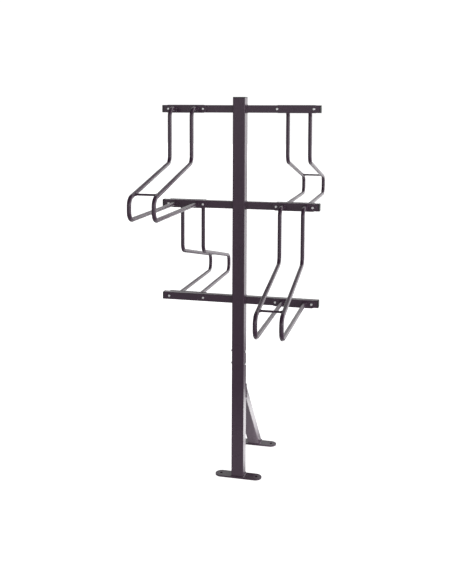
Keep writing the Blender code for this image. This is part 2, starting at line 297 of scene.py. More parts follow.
def rounded_block(width, depth, length, corner):
    """A block along Z with its four long edges rounded."""
    bm = bmesh.new()
    bmesh.ops.create_cube(bm, size=1.0)
    bmesh.ops.scale(bm, vec=(width, depth, length), verts=bm.verts)
    long_edges = [e for e in bm.edges if abs(e.verts[0].co.z - e.verts[1].co.z) > length / 2]
    ease(bm, long_edges, corner, CORNER_STEPS)
    return bm


def end_rims(bm):
    """The edges where an end face along Z meets a side."""
    rims = []
    for e in bm.edges:
        if len(e.link_faces) == 2:
            lean = sorted(abs(f.normal.z) for f in e.link_faces)
            if lean[0] < 1 - FACING and lean[1] > FACING:
                rims.append(e)
    return rims


def score(bm, axis, places):
    """Cut lines right round a shape at places along an axis, so that edge wear stays near its edges."""
    normal = Vector((0, 0, 0))
    normal[axis] = 1
    for place_along in places:
        bmesh.ops.bisect_plane(bm, geom=whole(bm), plane_co=normal * place_along, plane_no=normal)


def both_sides(middle, reach):
    return [middle - reach, middle + reach]


def box_tube(width, depth, length, corner, wall, openings=None):
    """A box tube along Z, open at both ends, with eased rims and lines scored round its openings."""
    bm = rounded_block(width, depth, length, corner)
    bm.normal_update()
    ends = [f for f in bm.faces if abs(f.normal.z) > FACING]
    bmesh.ops.inset_region(bm, faces=ends, thickness=wall, use_even_offset=True)
    mouths = [e for f in ends for e in f.edges]
    bmesh.ops.delete(bm, geom=ends, context="FACES_ONLY")
    bmesh.ops.bridge_loops(bm, edges=mouths)
    bm.normal_update()
    ease(bm, end_rims(bm), RIM_EASE)
    margins = (corner, corner, RIM_EASE)
    for axis, span in enumerate((width, depth, length)):
        score(bm, axis, both_sides(0, span / 2 - margins[axis] - SCORE_BAND))
    for axis, places in (openings or {}).items():
        score(bm, axis, places)
    return facing_outwards(bm)


def round_bar(radius, length, sides):
    bm = bmesh.new()
    bmesh.ops.create_cone(bm, cap_ends=True, segments=sides, radius1=radius, radius2=radius, depth=length)
    return bm


def cross_drill(diameter, length, axis):
    bm = round_bar(diameter / 2, length, HOLE_SIDES)
    turn(bm, math.pi / 2, axis)
    return bm


def slot_loop(bm, length, width, inward, height):
    """A straight-sided loop with round ends, drawn in from its full size."""
    half_step = math.pi / OUTLINE_SIDES
    radius = width / 2 - inward
    edges = ring(bm, OUTLINE_SIDES, radius / math.cos(half_step),
                 at_height(height) @ Matrix.Rotation(half_step, 4, "Z"))
    reach = (length - width) / 2
    for v in {v for e in edges for v in e.verts}:
        v.co.x += math.copysign(reach, v.co.x)
    return edges


def eased_levels(thickness, offset):
    """Pairs of inset and height that round both edges of a plate's side."""
    arc = [math.pi / 2 * i / EASE_STEPS for i in range(EASE_STEPS + 1)]
    lower = [(offset * (1 - math.sin(a)), offset * (1 - math.cos(a))) for a in arc]
    upper = [(inset, thickness - height) for inset, height in reversed(lower)]
    return lower + upper


def drilled_plate(length, width, thickness, hole_spacing, hole):
    """A round-ended plate with two holes, all its edges eased, on Z 0 and up."""
    bm = bmesh.new()
    levels = eased_levels(thickness, PLATE_EASE)
    walls = [[slot_loop(bm, length, width, inset, height) for inset, height in levels]]
    for side in (-1, 1):
        middle = Matrix.Translation((side * hole_spacing / 2, 0, 0))
        walls.append([ring(bm, HOLE_SIDES, hole / 2 + inset, middle @ at_height(height))
                      for inset, height in levels])
    for loops in walls:
        skin(bm, loops)
    for end in (0, -1):
        edges = [e for loops in walls for e in loops[end]]
        filled = bmesh.ops.triangle_fill(bm, use_beauty=True, edges=edges, normal=(0, 0, 1))
        flat = [g for g in filled["geom"] if isinstance(g, bmesh.types.BMFace)]
        bmesh.ops.inset_region(bm, faces=flat, thickness=SCORE_BAND, use_even_offset=True)
    return facing_outwards(bm)


def end_cap(width, flange, plug_width, corner):
    """A moulded square cap along Z: a flange with a shallow pan above Z 0, a ribbed plug below it."""
    bm = rounded_block(width, width, flange, corner)
    move(bm, (0, 0, flange / 2))
    bm.normal_update()
    top = [f for f in bm.faces if f.normal.z > FACING]
    base = [f for f in bm.faces if f.normal.z < -FACING]
    ease(bm, list(top[0].edges), CAP_EASE)
    bm.normal_update()
    crown = max((f for f in bm.faces if f.normal.z > FACING), key=lambda f: f.calc_area())
    bmesh.ops.inset_region(bm, faces=[crown], thickness=CAP_RIM, use_even_offset=True)
    bmesh.ops.inset_region(bm, faces=[crown], thickness=CAP_PAN, depth=-CAP_PAN, use_even_offset=True)
    bmesh.ops.inset_region(bm, faces=base, thickness=(width - plug_width) / 2, use_even_offset=True)
    plug = [e for f in base for e in f.edges]
    bmesh.ops.delete(bm, geom=base, context="FACES_ONLY")
    for drop, ribs in CAP_PLUG_STEPS:
        plug = draw_straight(bm, plug, (0, 0, -drop * CAP_PLUG_DEPTH))
        scale = 1 + 2 * ribs * CAP_RIB / plug_width
        bmesh.ops.scale(bm, verts=list({v for e in plug for v in e.verts}), vec=(scale, scale, 1))
    bmesh.ops.edgeloop_fill(bm, edges=plug)
    return facing_outwards(bm)


def bent_tube(corners, radius, bore_radius, bend_radius):
    """A hollow round tube in the plane X 0, straight between corners and rounded at each."""
    bm = bmesh.new()
    first = (corners[1] - corners[0]).normalized()
    start = Matrix.Translation(corners[0]) @ first.to_track_quat("Z", "X").to_matrix().to_4x4()
    edges = ring(bm, TUBE_SIDES, radius, start) + ring(bm, BORE_SIDES, bore_radius, start)
    bmesh.ops.triangle_fill(bm, use_beauty=True, edges=edges)
    here = corners[0]
    for before, corner, after in zip(corners, corners[1:], corners[2:]):
        along = (corner - before).normalized()
        ahead = (after - corner).normalized()
        angle = math.atan2(along.cross(ahead).x, along.dot(ahead))
        trim = bend_radius * math.tan(abs(angle) / 2)
        bend_start = corner - along * trim
        edges = draw_straight(bm, edges, bend_start - here)
        inward = Vector((1, 0, 0)).cross(along) * math.copysign(bend_radius, angle)
        edges = draw_bend(bm, edges, bend_start + inward, angle)
        here = corner + ahead * trim
    edges = draw_straight(bm, edges, corners[-1] - here)
    bmesh.ops.triangle_fill(bm, use_beauty=True, edges=edges)
    return facing_outwards(bm)


def loop_place(distance, half_width, half_depth, corner):
    """The point and the outward angle at a distance along a rounded rectangle."""
    arc = math.pi / 2 * corner
    reaches = (half_width, half_depth)
    for quarter in range(4):
        facing = quarter * math.pi / 2
        out = Vector((math.cos(facing), math.sin(facing), 0))
        along = Vector((-math.sin(facing), math.cos(facing), 0))
        reach = reaches[quarter % 2]
        straight = 2 * (reaches[1 - quarter % 2] - corner)
        if distance <= straight:
            return out * reach + along * (distance - straight / 2), facing
        distance -= straight
        if distance <= arc:
            bearing = facing + distance / corner
            centre = out * (reach - corner) + along * straight / 2
            return centre + corner * Vector((math.cos(bearing), math.sin(bearing), 0)), bearing
        distance -= arc
    return loop_place(distance, half_width, half_depth, corner)


def bead_swell(step, count, seed):
    """How thick a bead is at one of its steps: rippled, a little uneven and thin at both ends."""
    ripple = math.sin(math.pi * (step % BEAD_STEPS) / BEAD_STEPS)
    unevenness = math.sin(step * QUICK_WAVE + seed) + math.sin(step * SLOW_WAVE + 2 * seed)
    swell = 1 + BEAD_RIPPLE * ripple + BEAD_UNEVENNESS * unevenness
    return swell * min(1, BEAD_END + BEAD_END_GROWTH * min(step, count - step))


def weld_bead(half_width, half_depth, corner, radius, seed):
    """A rippled bead laid round a rounded rectangle in the plane Z 0, its end lapping its start."""
    spread = BEAD_OFFSET * radius
    sides = (half_width + spread, half_depth + spread, corner + spread)
    length = 4 * (sides[0] + sides[1]) - (8 - 2 * math.pi) * sides[2]
    count = round((length + BEAD_LAP) / BEAD_PITCH) * BEAD_STEPS
    frames = []
    for step in range(count + 1):
        point, bearing = loop_place((length + BEAD_LAP) * step / count, *sides)
        point.z = spread * (1 + BEAD_LIFT * math.sin(step * LIFT_WAVE + seed))
        facing = Matrix.Rotation(bearing, 4, "Z") @ Matrix.Rotation(math.pi / 2, 4, "X")
        size = Matrix.Scale(radius * bead_swell(step, count, seed), 4)
        frames.append(Matrix.Translation(point) @ facing @ size)
    bm = bmesh.new()
    edges = ring(bm, BEAD_SIDES, 1.0, frames[0])
    bmesh.ops.edgeloop_fill(bm, edges=edges)
    edges = draw_through(bm, edges, frames)
    bmesh.ops.edgeloop_fill(bm, edges=edges)
    return facing_outwards(bm)


def hexagon_loop(bm, flats, height, slope=0):
    """A hexagon of many points, its corners drawn down a nut's chamfer where it has a slope."""
    edges = ring(bm, 6, flats / math.sqrt(3), at_height(height))
    made = bmesh.ops.subdivide_edges(bm, edges=edges, cuts=SCREW_SIDES // 6 - 1)
    verts = dict.fromkeys(v for e in edges for v in e.verts)
    verts |= dict.fromkeys(g for g in made["geom_inner"] if isinstance(g, bmesh.types.BMVert))
    for v in verts:
        v.co.z -= slope * max(0, v.co.xy.length - NUT_CHAMFER_RADIUS)
    return list(dict.fromkeys(e for v in verts for e in v.link_edges))


def thread_profile(length):
    """Pairs of radius and height along the thread at the end of a shank."""
    start = length - THREAD_LENGTH
    turns = range(int(THREAD_LENGTH / THREAD_PITCH))
    stations = [(radius, start + (i + share) * THREAD_PITCH)
                for i in turns for radius, share in THREAD_TURN]
    return [*stations, (THREAD_ROOT, length)]


def head_profile():
    """Pairs of radius and height down a screw's domed head to its shank."""
    dome = HEAD_RADIUS - HEAD_CROWN_RADIUS
    arc = [math.pi / 2 * i / HEAD_STEPS for i in range(HEAD_STEPS + 1)]
    stations = [(HEAD_CROWN_RADIUS + dome * math.sin(a), -GAP - (HEAD_HEIGHT - GAP) * math.cos(a))
                for a in arc]
    return [*stations, (HEAD_RADIUS - GAP / 2, 0), (THREAD_RADIUS + GAP, 0), (THREAD_RADIUS, GAP)]


def button_screw(length):
    """A button-head screw along Z: a domed head with a hexagon socket below Z 0, the shank above."""
    bm = bmesh.new()
    loops = [hexagon_loop(bm, SOCKET_FLATS, SOCKET_DEPTH - HEAD_HEIGHT),
             hexagon_loop(bm, SOCKET_FLATS, GAP - HEAD_HEIGHT),
             hexagon_loop(bm, SOCKET_FLATS + GAP, -HEAD_HEIGHT)]
    loops += rings(bm, head_profile() + thread_profile(length))
    skin(bm, loops)
    socket = bmesh.ops.edgeloop_fill(bm, edges=loops[0])["faces"]
    drilled = bmesh.ops.poke(bm, faces=socket)["verts"]
    bmesh.ops.translate(bm, verts=drilled, vec=(0, 0, SOCKET_POINT))
    bmesh.ops.edgeloop_fill(bm, edges=loops[-1])
    return facing_outwards(bm)


def collar_height(share):
    return NUT_BODY_HEIGHT + (NUT_HEIGHT - NUT_BODY_HEIGHT) * share


def locking_nut():
    """A chamfered hexagon nut along Z, with the round collar that holds its nylon ring."""
    bm = bmesh.new()
    loops = rings(bm, ((NUT_BORE_RADIUS, 0), (NUT_CHAMFER_RADIUS, 0)))
    loops.append(hexagon_loop(bm, NUT_FLATS, 0, -NUT_CHAMFER_SLOPE))
    loops.append(hexagon_loop(bm, NUT_FLATS, NUT_BODY_HEIGHT, NUT_CHAMFER_SLOPE))
    stations = [(NUT_CHAMFER_RADIUS, NUT_BODY_HEIGHT), (COLLAR_RADIUS, collar_height(COLLAR_FOOT))]
    for i in range(COLLAR_STEPS + 1):
        a = math.pi / 2 * i / COLLAR_STEPS
        radius = COLLAR_MOUTH + (COLLAR_RADIUS - COLLAR_MOUTH) * math.cos(a)
        stations.append((radius, collar_height(COLLAR_CROWN + (1 - COLLAR_CROWN) * math.sin(a))))
    seat = collar_height(NYLON_SEAT)
    stations += [(COLLAR_MOUTH, seat), (THREAD_RADIUS + GAP, seat)]
    loops += rings(bm, stations)
    skin(bm, [*loops, loops[0]])
    return facing_outwards(bm)


def turned_ring(stations):
    """A closed ring along Z, through pairs of radius and height."""
    bm = bmesh.new()
    loops = rings(bm, stations)
    skin(bm, [*loops, loops[0]])
    return facing_outwards(bm)


def nylon_ring():
    """The ring held in a locking nut's collar, with a rounded mouth."""
    outer = COLLAR_MOUTH - GAP / 2
    inner = THREAD_RADIUS
    low = collar_height(NYLON_FOOT)
    high = NUT_HEIGHT - GAP
    return turned_ring(((inner, low), (outer, low), (outer, high), (inner + 2 * GAP, high),
                        (inner, high - 2 * GAP)))


def plain_washer():
    """A flat washer along Z, on Z 0 and up, with eased outer edges."""
    inner = THREAD_RADIUS + GAP
    rim = WASHER_RADIUS - GAP
    top = WASHER_THICKNESS
    return turned_ring(((inner, 0), (rim, 0), (WASHER_RADIUS, GAP), (WASHER_RADIUS, top - GAP),
                        (rim, top), (inner, top)))


# Where each pattern of the finishes begins and is full
SLOW_TONE = (0.3, 0.7)
WORN_EDGE = (0.515, 0.58)
WORN_PATCHES = (0.50, 0.72)
DUST_AND_TOP_LIGHT_SLOPE = (0.55, 1.0)
DUST_AND_TOP_LIGHT_PATCHES = (0.3, 0.75)
STREAK_LINES = (0.60, 0.72)
STREAK_AREAS = (0.45, 0.75)

# The grain's fine part, its wave's scale and the streaked areas' scale, as shares
GRAIN_FINE_PART = 0.45
GRAIN_WAVE_SCALE = 0.35
STREAK_AREA_SCALE = 0.04


def new_group(name, inputs, outputs):
    """A shader node group with float or vector sockets, and its input and output nodes."""
    group = bpy.data.node_groups.new(name, "ShaderNodeTree")
    for direction, sockets in (("INPUT", inputs), ("OUTPUT", outputs)):
        for socket, kind in sockets:
            kind = "NodeSocket" + kind
            group.interface.new_socket(name=socket, in_out=direction, socket_type=kind)
    return group, group.nodes.new("NodeGroupInput").outputs, group.nodes.new("NodeGroupOutput").inputs


def noise(tree, vector, scale, detail, roughness=0.5):
    node = tree.nodes.new("ShaderNodeTexNoise")
    tree.links.new(vector, node.inputs["Vector"])
    feed(tree, scale, node.inputs["Scale"])
    node.inputs["Detail"].default_value = detail
    node.inputs["Roughness"].default_value = roughness
    return node.outputs["Fac"]


def feed(tree, value, socket):
    """Link a socket, or set its value."""
    if isinstance(value, bpy.types.NodeSocket):
        tree.links.new(value, socket)
    else:
        socket.default_value = value


def calculate(tree, operation, first, second):
    node = tree.nodes.new("ShaderNodeMath")
    node.operation = operation
    feed(tree, first, node.inputs[0])
    feed(tree, second, node.inputs[1])
    return node.outputs[0]


def product(tree, first, *others):
    for other in others:
        first = calculate(tree, "MULTIPLY", first, other)
    return first


def remap(tree, value, low, high, to_low=0.0, to_high=1.0):
    node = tree.nodes.new("ShaderNodeMapRange")
    node.interpolation_type = "SMOOTHSTEP"
    feed(tree, value, node.inputs["Value"])
    feed(tree, low, node.inputs["From Min"])
    feed(tree, high, node.inputs["From Max"])
    feed(tree, to_low, node.inputs["To Min"])
    feed(tree, to_high, node.inputs["To Max"])
    return node.outputs["Result"]


def blend_colour(tree, factor, first, second):
    node = tree.nodes.new("ShaderNodeMix")
    node.data_type = "RGBA"
    feed(tree, factor, node.inputs["Factor"])
    feed(tree, first, node.inputs[6])
    feed(tree, second, node.inputs[7])
    return node.outputs[2]


def make_grain_group():
    """Fine skin of a coating or a moulding: a height for bump and a slow tone over the surface."""
    group, given, result = new_group(
        "surface_grain", [("Vector", "Vector"), ("Fine Scale", "Float"), ("Slow Scale", "Float")],
        [("Height", "Float"), ("Tone", "Float")])
    fine = noise(group, given["Vector"], given["Fine Scale"], detail=2.0)
    slow = noise(group, given["Vector"], given["Slow Scale"], detail=4.0, roughness=0.6)
    wave_scale = product(group, given["Fine Scale"], GRAIN_WAVE_SCALE)
    wave = noise(group, given["Vector"], wave_scale, detail=1.0)
    height = calculate(group, "ADD", product(group, fine, GRAIN_FINE_PART), wave)
    group.links.new(height, result["Height"])
    group.links.new(remap(group, slow, *SLOW_TONE), result["Tone"])
    return group


def make_wear_group():
    """Rubbed edges: where the surface turns sharply outwards, broken up by noise."""
    group, given, result = new_group(
        "edge_wear", [("Vector", "Vector"), ("Amount", "Float"), ("Break Up Scale", "Float")],
        [("Mask", "Float")])
    geometry = group.nodes.new("ShaderNodeNewGeometry")
    edge = remap(group, geometry.outputs["Pointiness"], *WORN_EDGE)
    patches = noise(group, given["Vector"], given["Break Up Scale"], detail=5.0, roughness=0.65)
    patches = remap(group, patches, *WORN_PATCHES)
    group.links.new(product(group, edge, patches, given["Amount"]), result["Mask"])
    return group


def make_dust_and_top_light_group():
    """Thin dust on faces that look up, with painted light that lightens those tops as if lit from above."""
    group, given, result = new_group(
        "dust_and_painted_top_light", [("Vector", "Vector"), ("Amount", "Float"), ("Scale", "Float")],
        [("Mask", "Float")])
    geometry = group.nodes.new("ShaderNodeNewGeometry")
    split = group.nodes.new("ShaderNodeSeparateXYZ")
    group.links.new(geometry.outputs["Normal"], split.inputs[0])
    up = remap(group, split.outputs["Z"], *DUST_AND_TOP_LIGHT_SLOPE)
    patches = noise(group, given["Vector"], given["Scale"], detail=5.0, roughness=0.7)
    patches = remap(group, patches, *DUST_AND_TOP_LIGHT_PATCHES)
    group.links.new(product(group, up, patches, given["Amount"]), result["Mask"])
    return group


def make_scuff_group():
    """Thin rubbed streaks, drawn out along one direction by the given vector's own stretch."""
    group, given, result = new_group(
        "rubbed_streaks", [("Vector", "Vector"), ("Scale", "Float"), ("Amount", "Float")],
        [("Mask", "Float")])
    lines = noise(group, given["Vector"], given["Scale"], detail=3.0, roughness=0.6)
    lines = remap(group, lines, *STREAK_LINES)
    area_scale = product(group, given["Scale"], STREAK_AREA_SCALE)
    areas = remap(group, noise(group, given["Vector"], area_scale, detail=2.0), *STREAK_AREAS)
    group.links.new(product(group, lines, areas, given["Amount"]), result["Mask"])
    return group


GRAIN = make_grain_group()
WEAR = make_wear_group()
DUST_AND_TOP_LIGHT = make_dust_and_top_light_group()
SCUFFS = make_scuff_group()


def new_material(name):
    """An empty material with a Principled shader, its nodes and Object coordinates."""
    material = bpy.data.materials.new(name)
    material.use_nodes = True
    tree = material.node_tree
    shader = tree.nodes["Principled BSDF"]
    coordinates = tree.nodes.new("ShaderNodeTexCoord").outputs["Object"]
    return material, tree, shader, coordinates


def use_group(tree, group, **values):
    node = tree.nodes.new("ShaderNodeGroup")
    node.node_tree = group
    for name, value in values.items():
        feed(tree, value, node.inputs[name.replace("_", " ").title()])
    return node.outputs


def stretched(tree, coordinates, scale):
    node = tree.nodes.new("ShaderNodeMapping")
    tree.links.new(coordinates, node.inputs["Vector"])
    node.inputs["Scale"].default_value = scale
    return node.outputs["Vector"]


def bump(tree, shader, height, strength, distance):
    node = tree.nodes.new("ShaderNodeBump")
    node.inputs["Strength"].default_value = strength
    node.inputs["Distance"].default_value = distance
    tree.links.new(height, node.inputs["Height"])
    tree.links.new(node.outputs["Normal"], shader.inputs["Normal"])


PAINT = (0.048, 0.021, 0.045, 1.0)
PAINT_LIGHTER = (0.053, 0.025, 0.050, 1.0)
WORN_PRIMER = (0.20, 0.19, 0.19, 1.0)
# Purple-grey dust on faces that look up, which also stands in for light from above: painted top light
DUST_AND_TOP_LIGHT_COLOUR = (0.31, 0.27, 0.30, 1.0)
ZINC_CLOUDY = (0.82, 0.82, 0.83, 1.0)
ZINC_CLEAR = (0.92, 0.92, 0.92, 1.0)
ZINC_RUBBED = (0.94, 0.94, 0.94, 1.0)
PLASTIC = (0.016, 0.015, 0.017, 1.0)
PLASTIC_LIGHTER = (0.026, 0.025, 0.027, 1.0)
PLASTIC_RUBBED = (0.07, 0.07, 0.07, 1.0)

# What dust and streaks add to the paint's roughness, and the zinc's roughness from cloudy to clear
DUST_ROUGHNESS = 0.25
STREAK_ROUGHNESS = 0.2
ZINC_ROUGHNESS = (0.42, 0.30)


def painted_steel(name, rough, peel, wear, dust, scuff, stretch=(1, 1, 1)):
    """Semi-gloss powder coat with orange peel, rubbed edges, faint streaks, and dust with painted top
    light.
    """
    material, tree, shader, coordinates = new_material(name)
    grain = use_group(tree, GRAIN, vector=coordinates, fine_scale=750.0, slow_scale=7.0)
    worn = use_group(tree, WEAR, vector=coordinates, amount=wear, break_up_scale=160.0)["Mask"]
    dust_and_top_light_mask = use_group(tree, DUST_AND_TOP_LIGHT, vector=coordinates, amount=dust, scale=45.0)["Mask"]
    streaks = use_group(tree, SCUFFS, vector=stretched(tree, coordinates, stretch), scale=900.0,
                        amount=scuff)["Mask"]
    colour = blend_colour(tree, grain["Tone"], PAINT, PAINT_LIGHTER)
    # Dust and painted top light: faces that look up are blended towards the purple-grey
    colour = blend_colour(tree, dust_and_top_light_mask, colour, DUST_AND_TOP_LIGHT_COLOUR)
    colour = blend_colour(tree, streaks, colour, WORN_PRIMER)
    colour = blend_colour(tree, worn, colour, WORN_PRIMER)
    tree.links.new(colour, shader.inputs["Base Color"])
    roughness = remap(tree, grain["Tone"], 0.0, 1.0, *rough)
    roughness = calculate(tree, "ADD", roughness, product(tree, dust_and_top_light_mask, DUST_ROUGHNESS))
    roughness = calculate(tree, "ADD", roughness, product(tree, streaks, STREAK_ROUGHNESS))
    tree.links.new(roughness, shader.inputs["Roughness"])
    shader.inputs["IOR"].default_value = 1.5
    shader.inputs["Coat Weight"].default_value = 0.15
    shader.inputs["Coat Roughness"].default_value = 0.12
    bump(tree, shader, grain["Height"], strength=peel, distance=0.0002)
    return material


def zinc_plated(name):
    """Bright zinc with soft cloudy patches and fine turning marks."""
    material, tree, shader, coordinates = new_material(name)
    grain = use_group(tree, GRAIN, vector=coordinates, fine_scale=2600.0, slow_scale=220.0)
    worn = use_group(tree, WEAR, vector=coordinates, amount=0.6, break_up_scale=500.0)["Mask"]
    colour = blend_colour(tree, grain["Tone"], ZINC_CLOUDY, ZINC_CLEAR)
    colour = blend_colour(tree, worn, colour, ZINC_RUBBED)
    tree.links.new(colour, shader.inputs["Base Color"])
    tree.links.new(remap(tree, grain["Tone"], 0.0, 1.0, *ZINC_ROUGHNESS), shader.inputs["Roughness"])
    shader.inputs["Metallic"].default_value = 1.0
    bump(tree, shader, grain["Height"], strength=0.12, distance=0.00005)
    return material


def moulded_plastic(name, rough):
    """Black moulded plastic with a fine spark texture and rubbed corners."""
    material, tree, shader, coordinates = new_material(name)
    grain = use_group(tree, GRAIN, vector=coordinates, fine_scale=1800.0, slow_scale=30.0)
    worn = use_group(tree, WEAR, vector=coordinates, amount=0.5, break_up_scale=300.0)["Mask"]
    dust_and_top_light_mask = use_group(tree, DUST_AND_TOP_LIGHT, vector=coordinates, amount=0.12, scale=80.0)["Mask"]
    colour = blend_colour(tree, grain["Tone"], PLASTIC, PLASTIC_LIGHTER)
    colour = blend_colour(tree, worn, colour, PLASTIC_RUBBED)
    # Dust and painted top light on faces that look up, as on the paint
    colour = blend_colour(tree, dust_and_top_light_mask, colour, DUST_AND_TOP_LIGHT_COLOUR)
    tree.links.new(colour, shader.inputs["Base Color"])
    tree.links.new(remap(tree, grain["Tone"], 0.0, 1.0, *rough), shader.inputs["Roughness"])
    shader.inputs["IOR"].default_value = 1.46
    bump(tree, shader, grain["Height"], strength=0.35, distance=0.0001)
    return material


FRAME_PAINT = painted_steel("frame_paint", rough=(0.27, 0.34), peel=0.14, wear=0.30, dust=0.03,
                            scuff=0.05, stretch=(1, 1, 0.03))
BAR_PAINT = painted_steel("crossbar_paint", rough=(0.29, 0.36), peel=0.14, wear=0.30, dust=0.04,
                          scuff=0.06, stretch=(0.03, 1, 1))
TUBE_PAINT = painted_steel("holder_tube_paint", rough=(0.24, 0.31), peel=0.10, wear=0.25, dust=0.03,
                           scuff=0.10, stretch=(1, 0.04, 0.12))
# The plates take more dust on their tops, part of it painted light from above
PLATE_PAINT = painted_steel("plate_paint", rough=(0.30, 0.37), peel=0.14, wear=0.35, dust=0.09,
                            scuff=0.06, stretch=(0.04, 1, 1))
WELD_PAINT = painted_steel("weld_paint", rough=(0.30, 0.37), peel=0.10, wear=0.20, dust=0.03, scuff=0.0)
ZINC = zinc_plated("zinc_plate_finish")
CAP_PLASTIC = moulded_plastic("cap_plastic", rough=(0.43, 0.53))
INSERT_NYLON = moulded_plastic("insert_nylon", rough=(0.33, 0.43))


def build_upper_post():
    """The upper length of the post, with a window for each bar."""
    post = size_of("upper_post")
    middle = centre_of("upper_post")
    windows = []
    lines = {1: both_sides(0, size_of("top_bar").y / 2 + SCORE_BAND), 2: []}
    for bar in BARS:
        size = size_of(bar + "_bar")
        window = rounded_block(size.y + 2 * GAP, size.z + 2 * GAP, 2 * post.x, BAR_CORNER + GAP)
        turn(window, math.pi / 2, "Y")
        crossing = centre_of(bar + "_bar")
        move(window, (0, crossing.y, crossing.z))
        windows.append(window)
        lines[2] += both_sides(crossing.z - middle.z, size.z / 2 + SCORE_BAND)
    tube = box_tube(post.x, post.y, post.z, POST_CORNER, POST_WALL, lines)
    move(tube, middle)
    add_piece("upper_post_tube", cut_out(tube, windows), FRAME_PAINT, "upper_post", True)


def build_lower_post():
    """The lower length of the post, drilled for the splice's screws."""
    post = size_of("lower_post")
    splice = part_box("lower_post")[1].z
    drills = []
    lines = {1: both_sides(0, HOLE_CLEAR), 2: []}
    for drop in SPLICE_SCREW_DROPS.values():
        drill = cross_drill(BOLT_HOLE, 2 * post.x, "Y")
        move(drill, (0, 0, splice - drop))
        drills.append(drill)
        lines[2] += both_sides(post.z / 2 - drop, HOLE_CLEAR)
    tube = box_tube(post.x, post.y, post.z, POST_CORNER, POST_WALL, lines)
    move(tube, centre_of("lower_post"))
    add_piece("lower_post_tube", cut_out(tube, drills), FRAME_PAINT, "lower_post", True)


def build_post_ends():
    """The cap on the post and the weld at its foot."""
    post = size_of("upper_post")
    low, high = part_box("post_cap")
    bore = post.x - 2 * POST_WALL
    cap = end_cap(post.x, high.z - low.z - CAP_PLUG_DEPTH, bore - 2 * GAP, POST_CORNER)
    move(cap, (0, 0, low.z + CAP_PLUG_DEPTH))
    add_piece("post_top_cap", cap, CAP_PLASTIC, "post_cap", True)
    bead = weld_bead(post.x / 2, post.y / 2, POST_CORNER, FOOT_BEAD, 1)
    move(bead, (0, 0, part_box("lower_post")[0].z))
    add_weld("post_foot_weld", bead)


def build_splice_screws():
    """Two screws across the lower post, heads and washers on the right, locking nuts on the left."""
    half = size_of("lower_post").x / 2 + GAP
    head_seat = half + WASHER_THICKNESS + GAP
    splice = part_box("lower_post")[1].z
    for name, drop in SPLICE_SCREW_DROPS.items():
        length = head_seat + half + NUT_HEIGHT + SPLICE_SCREW_PAST_NUT
        for part, bm, start, material, slot in (
                ("screw", button_screw(length), head_seat, ZINC, "zinc_fasteners"),
                ("washer", plain_washer(), head_seat, ZINC, "zinc_fasteners"),
                ("nut", locking_nut(), -half, ZINC, "zinc_fasteners"),
                ("nut_insert", nylon_ring(), -half, INSERT_NYLON, "black_plastic")):
            turn(bm, -math.pi / 2, "Y")
            move(bm, (start, 0, splice - drop))
            add_piece(f"splice_{name}_{part}", bm, material)


def build_feet():
    """The two plates that the post and the strut stand on."""
    for node in ("front_foot_plate", "rear_foot_plate"):
        size = size_of(node)
        plate = drilled_plate(size.x, size.y, size.z, FOOT_HOLE_SPACING, FOOT_HOLE)
        middle = centre_of(node)
        move(plate, (middle.x, middle.y, 0))
        add_piece(node + "_eased", plate, PLATE_PAINT, node)


def cut_strut():
    """The raked box tube, cut flat along the post's back and the rear foot's top."""
    post_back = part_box("lower_post")[1].y + GAP
    foot_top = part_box("lower_post")[0].z
    foot_middle = centre_of("rear_foot_plate").y
    reach = foot_middle - (post_back - GAP)
    length = reach / math.cos(STRUT_RISE) + 2 * STRUT_DEPTH
    strut = box_tube(size_of("rear_strut").x, STRUT_DEPTH, length, POST_CORNER, POST_WALL)
    turn(strut, math.pi / 2 - STRUT_RISE, "X")
    middle_height = foot_top + reach / 2 * math.tan(STRUT_RISE)
    move(strut, (0, (foot_middle + post_back - GAP) / 2, middle_height))
    for point, normal in (((0, post_back, 0), (0, -1, 0)), ((0, 0, foot_top), (0, 0, -1))):
        cut = bmesh.ops.bisect_plane(strut, geom=whole(strut), plane_co=point, plane_no=normal,
                                     clear_outer=True)
        rim = [g for g in cut["geom_cut"] if isinstance(g, bmesh.types.BMEdge)]
        bmesh.ops.triangle_fill(strut, use_beauty=True, edges=rim)
        inside = Vector(point) - 2 * SCORE_BAND * Vector(normal)
        bmesh.ops.bisect_plane(strut, geom=whole(strut), plane_co=inside, plane_no=normal)
    return facing_outwards(strut)


def build_strut():
    """The raked strut between the post's back and the rear foot, with its two welds."""
    add_piece("rear_strut_tube", cut_strut(), FRAME_PAINT, "rear_strut", True)
    low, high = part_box("rear_strut")
    half_width = (high.x - low.x) / 2
    top_half = STRUT_DEPTH / math.cos(STRUT_RISE) / 2
    bead = weld_bead(half_width, top_half, POST_CORNER, FRAME_BEAD, 2)
    turn(bead, -math.pi / 2, "X")
    move(bead, (0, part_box("lower_post")[1].y + GAP, high.z - top_half))
    add_weld("strut_top_weld", bead)
    foot_half = STRUT_DEPTH / math.sin(STRUT_RISE) / 2
    bead = weld_bead(half_width, foot_half, POST_CORNER, FOOT_BEAD, 3)
    move(bead, (0, centre_of("rear_foot_plate").y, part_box("lower_post")[0].z))
    add_weld("strut_foot_weld", bead)


